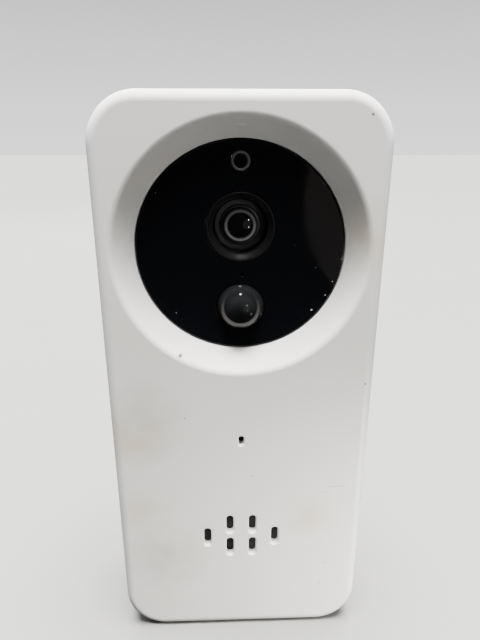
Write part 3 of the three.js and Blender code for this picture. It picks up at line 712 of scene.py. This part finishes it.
def charging_bay(body, rings, outer_row, inner_row, bottom_edge):
    """Fills the two gaps left in the bottom wall: outside with the flap's bed, inside with its pad."""
    body.axis = "z"
    outside, inside = -HALF_HEIGHT, WALL - HALF_HEIGHT
    bed = body.sweep(rounded_box(*BED_HALF, 1.9, (0, BED_Y), 8), rounded([
        (0.3, outside), (0, outside, 0.2), (0, FLAP_BED_TOP, 0.15), (-0.3, FLAP_BED_TOP)], 3))
    pad = body.sweep(rounded_box(*PAD_HALF, 0.5, (0, PAD_Y), 4), rounded([
        (0.3, inside), (0, inside, 0.1), (0, BAY_PAD_TOP, 0.1), (-0.3, BAY_PAD_TOP)], 3))
    way = rounded([
        (0.2, FLAP_BED_TOP), (0, FLAP_BED_TOP, 0.12), (0, BAY_PAD_TOP, 0.12), (0.2, BAY_PAD_TOP)], 3)
    bed_rims, pad_rims = openings(body, [
        (rounded_box(*PORT_WAY_HALF, 2.15, (0, PORT_Y), 10), way),
        (rounded_box(*POWER_WAY_HALF, 0.3, (POWER_X, PORT_Y), 4), way),
        (rounded_box(RESET_WAY_R, RESET_WAY_R, RESET_WAY_R - 0.01, (RESET_X, PORT_Y), 8), way),
    ])
    body.flat(bed[-1], *bed_rims)
    body.flat(pad[-1], *pad_rims)
    for row, rim in ((outer_row, bed[0]), (inner_row, pad[0])):
        first, second = rings[row], rings[row + 1]
        following = (bottom_edge + 1) % len(first)
        body.flat([first[bottom_edge], first[following], second[following], second[bottom_edge]], rim)
    body.axis = "y"


def rear_housing():
    body = Body()
    outline = rounded_box(HALF_WIDTH, HALF_HEIGHT, CORNER, steps=20)
    front, rim = REAR_LOW[1], REAR_HIGH[1]
    rings = body.sweep(outline, rounded([
        (-RECESS_RIM - 0.2, REAR_WALL_BACK), (-RECESS_RIM, REAR_WALL_BACK, 0.12), (-RECESS_RIM, rim, 0.3),
        (0, rim, EDGE_ROUND), (0, front, 0.25), (-WALL, front, 0.15), (-WALL, REAR_WALL_FRONT, 0.3),
        (-WALL - 0.5, REAR_WALL_FRONT),
    ], 8))
    through = rounded([(0.25, REAR_WALL_BACK), (0, REAR_WALL_BACK, 0.15), (0, REAR_WALL_FRONT, 0.1),
                       (0.25, REAR_WALL_FRONT)], 3)
    screw_way = rounded([
        (HEAD_WAY_R + 0.2, REAR_WALL_BACK), (HEAD_WAY_R, REAR_WALL_BACK, 0.12), (HEAD_WAY_R, HEAD_SEAT, 0.1),
        (CASE_PILOT_R, HEAD_SEAT, 0.05), (CASE_PILOT_R, SCREW_POST_FRONT, 0.05),
        (SCREW_POST_R, SCREW_POST_FRONT, 0.2), (SCREW_POST_R, REAR_WALL_FRONT, 0.1),
        (SCREW_POST_R + 0.2, REAR_WALL_FRONT),
    ], 3)
    cuts = [(hook_way(x, z), through) for x, z in HOOKS]
    cuts += [(circle(place, 40), screw_way) for place in CASE_SCREWS]
    cuts.append((circle(seen_at("tamper_plunger"), 32), [(grow + TAMPER_WAY_R, y) for grow, y in through]))
    outer_rims, inner_rims = openings(body, cuts)
    body.flat(rings[0], *outer_rims)
    body.flat(rings[-1], *inner_rims)
    body.finish("rear_housing_skin", "unit", "white_plastic", "rear_housing")


def hook_way(x, z):
    """The opening that a hook needs, with the unit hung and with it lifted off."""
    side_play, top_play = 0.4, 0.3
    low, high = z - LIFT - side_play, z + HOOK_STEM + top_play
    return rounded_box(HOOK_HALF_WIDTH + side_play, (high - low) / 2, 0.4, (x, (low + high) / 2), 4)


def hex_socket(place, socket, steps=72):
    """Rings that are round outside the socket's radius and six-sided inside it."""
    def ring(radius):
        points = []
        for i in range(steps):
            angle = 2 * math.pi * i / steps
            side = math.cos(math.pi / 6) / math.cos(angle % (math.pi / 3) - math.pi / 6)
            reach = radius * side if radius <= socket else radius
            points.append((place[0] + reach * math.cos(angle), place[1] + reach * math.sin(angle)))
        return points
    return ring


def case_screw(node):
    """A pan head screw with a six-sided socket, its head towards the wall."""
    low, high = span(node)
    place, end, top = seen_at(node), low[1], high[1]
    head, shank, socket = (high[0] - low[0]) / 2, 1.2, 0.95
    under, socket_floor = top - 1.4, top - 0.95
    body = Body()
    rings = body.sweep(hex_socket(place, socket), rounded([
        (0.3, end), (shank * 0.5, end, 0.1), (shank, end + shank, 0.1), (shank, under, 0.1),
        (head, under, 0.1), (head, top - 0.5, 0.15), (head * 0.7, top, 0.2), (socket + 0.12, top, 0.04),
        (socket, top - 0.1, 0.02), (socket, socket_floor + 0.1, 0.03), (0.3, socket_floor),
    ], 3))
    body.tip(rings[0], place, end)
    body.tip(rings[-1], place, socket_floor)
    body.finish(f"{node}_pan_head", "unit", "steel", node)


def return_spring(node):
    """A coil between the carrier, which presses it, and the board behind it."""
    low, high = span(node)
    x, z = seen_at(node)
    wire, coil, turns, steps, sides = 0.2, 1.45, 4, 32, 10
    front, back = low[1] + wire, high[1] - wire
    around = [2 * math.pi * k / sides for k in range(sides)]
    body = Body()
    rings = []
    for i in range(turns * steps + 1):
        angle = 2 * math.pi * i / steps
        out = Vector((math.cos(angle), 0, math.sin(angle)))
        centre = Vector((x, front + (back - front) * i / (turns * steps), z)) + out * coil
        points = [centre + (out * math.cos(a) + Vector((0, math.sin(a), 0))) * wire for a in around]
        rings.append([body.bm.verts.new(point) for point in points])
    for first, second in zip(rings, rings[1:]):
        body.strip(first, second)
    body.bm.faces.new(rings[0])
    body.bm.faces.new(rings[-1])
    piece = body.finish(f"{node}_coil", None, "steel", node)
    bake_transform(piece)


# Wall plate


def block(body, x, y, z, soft=0.25):
    """A soft-edged closed block between limits on each axis, as an island of the body."""
    half_x, half_z = (x[1] - x[0]) / 2, (z[1] - z[0]) / 2
    centre = ((x[0] + x[1]) / 2, (z[0] + z[1]) / 2)
    rings = body.sweep(rounded_box(half_x, half_z, soft, centre, 3),
                       rounded([(-soft * 2, y[0]), (0, y[0], soft), (0, y[1], soft), (-soft * 2, y[1])], 3))
    body.flat(rings[0])
    body.flat(rings[-1])


def tamper_groove(body):
    """The sloping groove that lets the tamper plunger out as the unit lifts. Returns its rim."""
    x, z = seen_at("tamper_plunger")
    half, spare = 2.2, 3.0
    shallow = PLATE_FRONT + 0.15
    deep = shallow + TAMPER_TRAVEL
    rows = [(z - spare, shallow), (z, shallow), (z + LIFT, deep), (z + LIFT + spare, deep)]
    corners = [(x + half, *row) for row in rows] + [(x - half, *row) for row in rows[::-1]]
    rim = body.ring([corner[:2] for corner in corners], PLATE_FRONT)
    low = [body.bm.verts.new(body.place(corner[:2], corner[2])) for corner in corners]
    body.strip(rim, low)
    last = len(low) - 1
    for i in range(len(rows) - 1):
        body.bm.faces.new((low[i], low[i + 1], low[last - i - 1], low[last - i]))
    return rim


def wall_plate():
    low, high = span("wall_plate")
    back = high[1]
    centre_z = (low[2] + high[2]) / 2
    body = Body()
    outline = rounded_box(high[0], high[2] - centre_z, PLATE_CORNER, (0, centre_z), 12)
    rings = body.sweep(outline, rounded([
        (-0.8, PLATE_FRONT), (0, PLATE_FRONT, 0.4), (0, back, 0.2), (-0.8, back)], 4))
    groove = tamper_groove(body)
    ledge = PLATE_FRONT + 1
    way = rounded([
        (SCREW_SLOT_STEP + 0.2, PLATE_FRONT), (SCREW_SLOT_STEP, PLATE_FRONT, 0.15),
        (SCREW_SLOT_STEP, ledge, 0.1), (0, ledge, 0.1), (0, back, 0.2), (0.4, back),
    ], 4)
    front_rims, back_rims = openings(body, [
        (slot_outline((0, z), SCREW_SLOT_HALF_WIDTH, SCREW_SLOT_HALF_LENGTH), way) for z in SCREW_SLOTS])
    body.flat(rings[0], groove, *front_rims)
    body.flat(rings[-1], *back_rims)
    for x, z in HOOKS:
        width = (x - HOOK_HALF_WIDTH, x + HOOK_HALF_WIDTH)
        block(body, width, (HOOK_LIP_BACK - 0.3, PLATE_FRONT + 0.2), (z, z + HOOK_STEM))
        block(body, width, (low[1], HOOK_LIP_BACK), (z, z + HOOK_RISE))
    body.finish("wall_plate_moulding", "wall_plate", "grey_plastic", "wall_plate")


# Bell push and what is set in it


def push_disc():
    body = Body()
    rings = body.sweep(circle(DISC_PLACE, DISC_STEPS), rounded([
        (DISC_R - 0.8, DISC_FRONT), (DISC_R, DISC_FRONT, 0.22), (DISC_R, DISC_BACK, 0.1),
        (DISC_R - 0.8, DISC_BACK)], 5))
    cuts = []
    for place, radius in (((0, LENS_Z), LENS_WAY_R), ((0, DOME_Z), DOME_WAY_R), ((0, LIGHT_Z), LIGHT_WAY_R),
                          (seen_at("status_light"), STATUS_WAY_R)):
        edge = min(0.12, radius * 0.2)
        cuts.append((circle(place, HOLE_STEPS), rounded([
            (radius + 0.2, DISC_FRONT), (radius, DISC_FRONT, edge), (radius, DISC_BACK, edge),
            (radius + 0.2, DISC_BACK)], 3)))
    front_rims, back_rims = openings(body, cuts)
    body.flat(rings[0], *front_rims)
    body.flat(rings[-1], *back_rims)
    body.finish("push_disc_face", "bell_push", "black_acrylic", "push_disc")


def turned(name, z, profile, rider, slot, node, material=None, loop=True, steps=RING_STEPS):
    """A piece turned about a line along Y: a closed profile, or one that starts and ends on the line."""
    body = Body()
    place = (0, z)
    if loop:
        body.sweep(circle(place, steps), profile, loop=True)
    else:
        rings = body.sweep(circle(place, steps), profile[1:-1])
        body.tip(rings[0], place, profile[0][1])
        body.tip(rings[-1], place, profile[-1][1])
    body.finish(name, rider, slot, node, material=material)


def lens_bezel():
    """A ring with a lip in front and a short cone that narrows to its throat."""
    low, high = span("lens_bezel")
    radius, front, back = high[0], low[1], high[1]
    lip, throat = 6.9, 5.9
    profile = rounded([
        (radius - 0.3, back), (radius, back, 0.1), (radius, front, 0.16), (lip, front, 0.12),
        (lip - 0.2, front + 0.35, 0.1), (throat + 0.05, front + 0.9, 0.12), (throat, front + 1.0, 0.05),
        (throat, back, 0.1), (throat + 0.5, back),
    ], 4)
    bezel_black = moulded("bezel_black", (0.006, 0.0062, 0.0066), 0.38, Specular_IOR_Level=0.08)
    turned("lens_bezel_ring", LENS_Z, profile, "bell_push", "black_plastic", "lens_bezel", bezel_black)


def lens_barrel():
    """A stepped tube with a seat for the front glass inside its rim."""
    low, high = span("lens_barrel")
    front, back = low[1], high[1]
    bore, seat, rim, neck, foot = 2.0, 2.72, 3.3, 3.9, 4.4
    profile = rounded([
        (bore, GLASS_SEAT), (bore, back, 0.1), (foot, back, 0.1), (foot, BARREL_SHOULDER, 0.2),
        (neck, BARREL_SHOULDER - 0.15, 0.1), (neck - 0.15, BARREL_SHOULDER - 0.7, 0.1), (rim, front, 0.16),
        (seat, front, 0.05), (seat, GLASS_SEAT, 0.05),
    ], 4)
    barrel_black = barrel_material(front)
    turned("lens_barrel_body", LENS_Z, profile, "unit", "black_plastic", "lens_barrel", barrel_black)


def barrel_material(front):
    """Black anodised, with a lighter grey ring painted on the front rim as a painted highlight."""
    black, grey = (0.03, 0.03, 0.032), (0.14, 0.145, 0.15)
    look = Look("barrel_black", black, 0.35)
    distance = look.node("ShaderNodeVectorMath", operation="DISTANCE")
    look.link(look.where, distance.inputs[0])
    distance.inputs[1].default_value = (0, front * MM, LENS_Z * MM)
    # A grey ring on the front rim, a painted highlight.
    inner = look.span(distance.outputs["Value"], 2.85 * MM, 2.95 * MM, 0, 1)
    outer = look.span(distance.outputs["Value"], 3.35 * MM, 3.5 * MM, 1, 0)
    look.color(look.mix(look.math("MULTIPLY", inner, outer), black, grey))
    look.rough(look.vary(look.noise(600, 3), 0.28, 0.42))
    look.bump(look.noise(3000, 2), 0.2, 0.01)
    return look.material


def cap(radius, height, rim_y, steps=14):
    """A round cap's (radius, y) points from its tip to its rim, bulging to -Y."""
    ball = (radius ** 2 + height ** 2) / (2 * height)
    spread = math.asin(min(1.0, radius / ball))
    centre = rim_y - height + ball
    return [(ball * math.sin(spread * i / steps), centre - ball * math.cos(spread * i / steps))
            for i in range(steps + 1)]


def lens_glass():
    low, high = span("lens_glass")
    radius, bulge = 2.64, 0.45
    profile = [*cap(radius, bulge, low[1] + bulge), (radius, high[1]), (0, high[1])]
    turned("lens_front_glass", LENS_Z, profile, "unit", "dark_lens", "lens_glass", loop=False)


def motion_dome():
    """A thin dome over the motion sensor, with a flange behind the disc."""
    low, _ = span("motion_dome")
    radius, wall, height = 5.25, 0.8, DISC_FRONT - low[1]
    flange_r, flange_front = radius + 0.9, DISC_BACK + 0.05
    outside = cap(radius, height, DISC_FRONT, 20)
    inside = cap(radius - wall, height - wall, DISC_FRONT, 16)[::-1]
    flange = rounded([
        (radius, DISC_FRONT), (radius, flange_front, 0.05), (flange_r, flange_front, 0.1),
        (flange_r, DOME_FLANGE_BACK, 0.1), (radius - wall, DOME_FLANGE_BACK, 0.1),
        (radius - wall, DISC_FRONT),
    ], 3)
    turned("motion_sensor_dome", DOME_Z, [*outside, *flange[1:-1], *inside], "bell_push", "smoky_dome",
           "motion_dome", loop=False)


def light_sensor_ring():
    low, high = span("light_sensor_ring")
    radius, front, back = high[0], low[1], high[1]
    lip, bore = 1.45, 1.68
    profile = rounded([
        (radius - 0.14, back), (radius, back, 0.04), (radius, front, 0.12), (lip, front, 0.06),
        (lip, front + 0.12, 0.03), (bore, front + 0.14, 0.03), (bore, back, 0.04), (radius - 0.14, back),
    ], 4)[:-1]
    trim_grey = moulded("trim_grey", (0.085, 0.086, 0.088), 0.35)
    turned("light_sensor_trim", LIGHT_Z, profile, "bell_push", "grey_plastic", "light_sensor_ring", trim_grey,
           steps=HOLE_STEPS)


def light_pipe():
    low, high = span("light_pipe")
    radius, front, back = 1.6, low[1], high[1]
    side = rounded([(0.4, front), (radius, front, 0.3), (radius, back, 0.1), (0.4, back)], 5)
    pipe_dark = moulded("pipe_dark", (0.004, 0.004, 0.005), 0.12, Specular_IOR_Level=0.15)
    turned("light_pipe_rod", LIGHT_Z, [(0, front), *side, (0, back)], "bell_push", "dark_lens", "light_pipe",
           pipe_dark, loop=False, steps=HOLE_STEPS)


# Port flap


def port_flap():
    """A rubber cover with a recess for a fingernail outside and a plug for the port inside."""
    body = Body("z")
    low, high = span("port_flap")
    outside, inside = low[2], low[2] + 1.1
    nail_floor = outside + 0.4
    centre_y = (low[1] + high[1]) / 2
    cover = rounded_box(high[0], (high[1] - low[1]) / 2, 1.6, (0, centre_y), 8)
    rings = body.sweep(cover, rounded([
        (-1.2, outside), (0, outside, 0.35), (0, inside, 0.2), (-1.2, inside)], 5))
    nail = body.sweep(rounded_box(3.2, 0.75, 0.74, (0, low[1] + 1.6), 8), rounded([
        (0.2, outside), (0, outside, 0.1), (-0.25, nail_floor, 0.15), (-0.5, nail_floor)], 3))
    plug = body.sweep(rounded_box(3.8, 0.95, 0.9, (0, PORT_Y), 8), rounded([
        (0.3, inside), (0, inside, 0.2), (0, high[2], 0.25), (-0.4, high[2])], 4))
    body.flat(rings[0], nail[0])
    body.flat(nail[-1])
    body.flat(rings[-1], plug[0])
    body.flat(plug[-1])
    body.finish("port_flap_rubber", "port_flap", "rubber", "port_flap")


front_shell()
rear_housing()
for number in (1, 2, 3, 4):
    case_screw(f"case_screw_{number}")
wall_plate()
for number in (1, 2, 3):
    return_spring(f"return_spring_{number}")
push_disc()
lens_bezel()
lens_barrel()
lens_glass()
motion_dome()
light_sensor_ring()
light_pipe()
port_flap()


# Floor, world and lights

FLOOR_HALF = 6.0
FLOOR_GAP = 0.1


def floor():
    pale, darker = (0.24, 0.24, 0.238), (0.232, 0.232, 0.23)
    look = Look("floor_paper", pale, 0.85)
    look.color(look.mix(look.vary(look.noise(9, 3)), pale, darker))
    mesh = bpy.data.meshes.new("floor")
    bm = bmesh.new()
    bmesh.ops.create_grid(bm, x_segments=8, y_segments=8, size=FLOOR_HALF)
    bmesh.ops.translate(bm, vec=(0, 0, (-HALF_HEIGHT - FLOOR_GAP) * MM), verts=bm.verts)
    bm.to_mesh(mesh)
    bm.free()
    mesh.materials.append(look.material)
    plane = bpy.data.objects.new("floor", mesh)
    bpy.context.scene.collection.objects.link(plane)
    plane.visible_glossy = False
    plane.visible_diffuse = False
    return plane


def world():
    """Pale all round to the camera. The light it gives comes from above and fades towards the floor."""
    made = bpy.data.worlds.new("studio")
    bpy.context.scene.world = made
    made.use_nodes = True
    tree = made.node_tree
    where = tree.nodes.new("ShaderNodeTexCoord")
    split = tree.nodes.new("ShaderNodeSeparateXYZ")
    tree.links.new(where.outputs["Generated"], split.inputs[0])
    height = split.outputs["Z"]
    given = tree.nodes["Background"]
    given.inputs["Color"].default_value = (1, 0.99, 0.97, 1)
    tree.links.new(map_range(tree, height, -0.1, 0.9, 0.05, 0.3), given.inputs["Strength"])
    seen = tree.nodes.new("ShaderNodeBackground")
    seen.inputs["Color"].default_value = (0.62, 0.62, 0.62, 1)
    tree.links.new(map_range(tree, height, 0.0, 0.35, 2.6, 1.0), seen.inputs["Strength"])
    path = tree.nodes.new("ShaderNodeLightPath")
    choose = tree.nodes.new("ShaderNodeMixShader")
    tree.links.new(path.outputs["Is Camera Ray"], choose.inputs["Fac"])
    tree.links.new(given.outputs["Background"], choose.inputs[1])
    tree.links.new(seen.outputs["Background"], choose.inputs[2])
    tree.links.new(choose.outputs["Shader"], tree.nodes["World Output"].inputs["Surface"])


def make_lamp(name, kind, strength, color):
    data = bpy.data.lights.new(name, kind)
    data.energy = strength
    data.color = color
    lamp = bpy.data.objects.new(name, data)
    bpy.context.scene.collection.objects.link(lamp)
    return lamp


def aim(lamp, place, target):
    lamp.location = place
    lamp.rotation_euler = (Vector(target) - Vector(place)).to_track_quat("-Z", "Y").to_euler()


def area_light(name, place, target, size, watts, color=(1, 1, 1)):
    lamp = make_lamp(name, "AREA", watts, color)
    lamp.data.shape = "DISK"
    lamp.data.size = size
    aim(lamp, place, target)
    return lamp


def overhead_light(source, soft_degrees, strength, color):
    """Soft light from one direction, without a reflection of its own in what is glossy."""
    lamp = make_lamp("overhead", "SUN", strength, color)
    lamp.data.angle = math.radians(soft_degrees)
    lamp.rotation_euler = Vector(source).to_track_quat("Z", "Y").to_euler()
    lamp.visible_glossy = False


def soft_spot(name, place, target, radius, half_angle, watts, color):
    lamp = make_lamp(name, "SPOT", watts, color)
    lamp.data.shadow_soft_size = radius
    lamp.data.spot_size = math.radians(2 * half_angle)
    lamp.data.spot_blend = 1.0
    aim(lamp, place, target)
    return lamp


def keep_off(lamps, piece):
    """The lamps light everything but the piece."""
    left_out = bpy.data.collections.new("left_out")
    left_out.objects.link(piece)
    left_out.collection_objects[0].light_linking.link_state = "EXCLUDE"
    for lamp in lamps:
        lamp.light_linking.receiver_collection = left_out


ground = floor()
world()
overhead_light(source=(0.03, -0.031, 1.0), soft_degrees=38, strength=30, color=(1.0, 0.985, 0.955))
close_lamps = [
    soft_spot("side", place=(0.115, -0.105, -0.06), target=(0.054, -0.026, -0.058), radius=0.010,
              half_angle=34, watts=1.9, color=(1.0, 0.975, 0.92)),
    soft_spot("top", place=(0.0, -0.12, 0.26), target=(0, -0.026, 0.06), radius=0.018,
              half_angle=22, watts=1.8, color=(1.0, 0.98, 0.95)),
    area_light("glint_high", place=(0.19, -0.35, 0.10), target=(0, 0, 0.03), size=0.010, watts=0.14),
    area_light("glint_low", place=(0.19, -0.34, -0.05), target=(0, 0, 0.03), size=0.010, watts=0.14),
    area_light("warm_card", place=(0.20, -0.42, 0.0), target=(0.02, 0, 0.035), size=0.25, watts=0.09,
               color=(1.0, 0.85, 0.75)),
]
keep_off(close_lamps, ground)
area_light("back", place=(-0.3, 0.7, 0.5), target=(0, 0, 0), size=0.5, watts=5.0)
